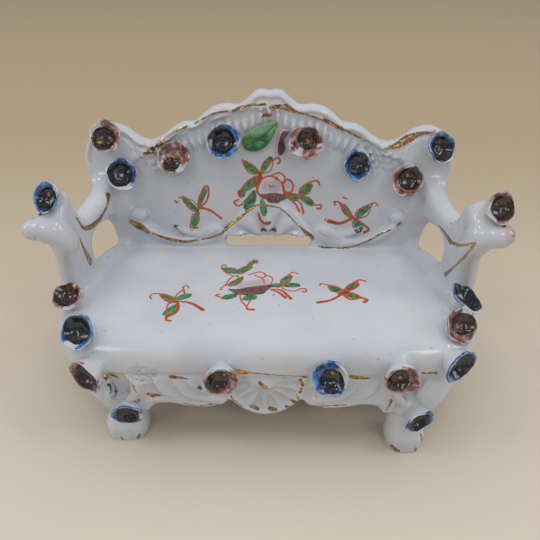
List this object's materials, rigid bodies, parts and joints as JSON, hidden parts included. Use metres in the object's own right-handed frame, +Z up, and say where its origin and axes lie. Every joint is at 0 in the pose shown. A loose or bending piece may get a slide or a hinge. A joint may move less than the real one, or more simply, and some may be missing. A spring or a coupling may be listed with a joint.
{
  "type": "porcelain miniature settee figurine",
  "caption": "Miniature rococo settee in glazed porcelain with scrolled arms, a crested back and applied flowers; a small ornament that stands on its feet.",
  "frame": {"origin": "on the ground, under the middle of the bounding box", "axes": "+Z up, the front of the settee faces -Y, +X to the right of someone who looks at the front"},
  "size_m": [0.1234, 0.0657, 0.083],
  "materials": {
    "glazed_porcelain": "clear glossy glaze over white porcelain, with painted sprigs and worn gilt lines",
    "blue_bloom": "glossy overglaze enamel, blue rim, near-black cup, gilt centre",
    "pink_bloom": "glossy overglaze enamel, pink to plum rim, near-black cup, gilt centre",
    "green_leaf": "glossy green overglaze enamel with darker veins",
    "dark_petal": "glossy dark mauve enamel with a broken edge"
  },
  "bodies": {
    "root": {"settee": "glazed_porcelain", "flower_ear_left": "pink_bloom", "flower_back_left_low": "blue_bloom", "flower_back_left": "pink_bloom", "flower_back_mid_left": "blue_bloom", "flower_back_mid_right": "pink_bloom", "flower_back_right": "blue_bloom", "flower_back_right_low": "pink_bloom", "flower_ear_right": "blue_bloom", "flower_arm_left": "blue_bloom", "flower_arm_right": "pink_bloom", "flower_end_left_back": "pink_bloom", "flower_end_left_front": "blue_bloom", "flower_corner_left": "pink_bloom", "flower_end_right_back": "blue_bloom", "flower_end_right_front": "pink_bloom", "flower_corner_right": "blue_bloom", "flower_front_left": "pink_bloom", "flower_front_mid": "blue_bloom", "flower_front_right": "pink_bloom", "flower_foot_left": "blue_bloom", "flower_foot_right": "blue_bloom", "leaf": "green_leaf", "broken_petal": "dark_petal"}
  },
  "joints": []
}
